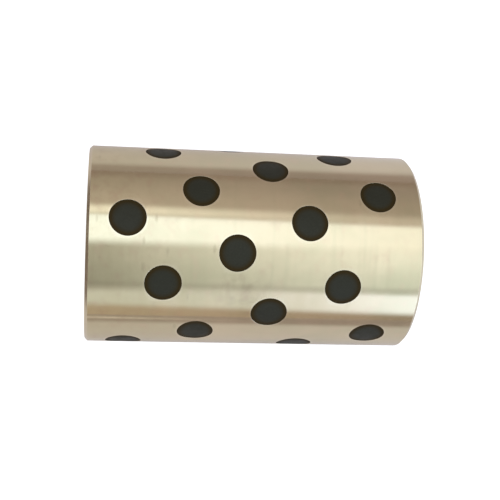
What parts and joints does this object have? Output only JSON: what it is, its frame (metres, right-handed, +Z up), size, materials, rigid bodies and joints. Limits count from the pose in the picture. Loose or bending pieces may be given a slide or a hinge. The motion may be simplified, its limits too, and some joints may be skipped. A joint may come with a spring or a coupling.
{
  "type": "bronze sleeve bushing",
  "caption": "Plain bronze sleeve bushing with solid graphite plugs set flush through its wall, a dry-running plain bearing for a round shaft.",
  "frame": {"origin": "on the bore axis at mid-length", "axes": "+X along the bore, +Z up, so the sleeve rests on its side; -Y is the front"},
  "size_m": [0.09, 0.055, 0.055],
  "materials": {
    "bronze": "gloss",
    "graphite": "matte"
  },
  "bodies": {
    "root": {"sleeve": "bronze", "plug_ring1_a": "graphite", "plug_ring1_b": "graphite", "plug_ring1_c": "graphite", "plug_ring1_d": "graphite", "plug_ring2_a": "graphite", "plug_ring2_b": "graphite", "plug_ring2_c": "graphite", "plug_ring2_d": "graphite", "plug_ring3_a": "graphite", "plug_ring3_b": "graphite", "plug_ring3_c": "graphite", "plug_ring3_d": "graphite", "plug_ring4_a": "graphite", "plug_ring4_b": "graphite", "plug_ring4_c": "graphite", "plug_ring4_d": "graphite", "plug_ring5_a": "graphite", "plug_ring5_b": "graphite", "plug_ring5_c": "graphite", "plug_ring5_d": "graphite", "plug_ring6_a": "graphite", "plug_ring6_b": "graphite", "plug_ring6_c": "graphite", "plug_ring6_d": "graphite", "plug_ring7_a": "graphite", "plug_ring7_b": "graphite", "plug_ring7_c": "graphite", "plug_ring7_d": "graphite", "plug_ring8_a": "graphite", "plug_ring8_b": "graphite", "plug_ring8_c": "graphite", "plug_ring8_d": "graphite"}
  },
  "joints": []
}
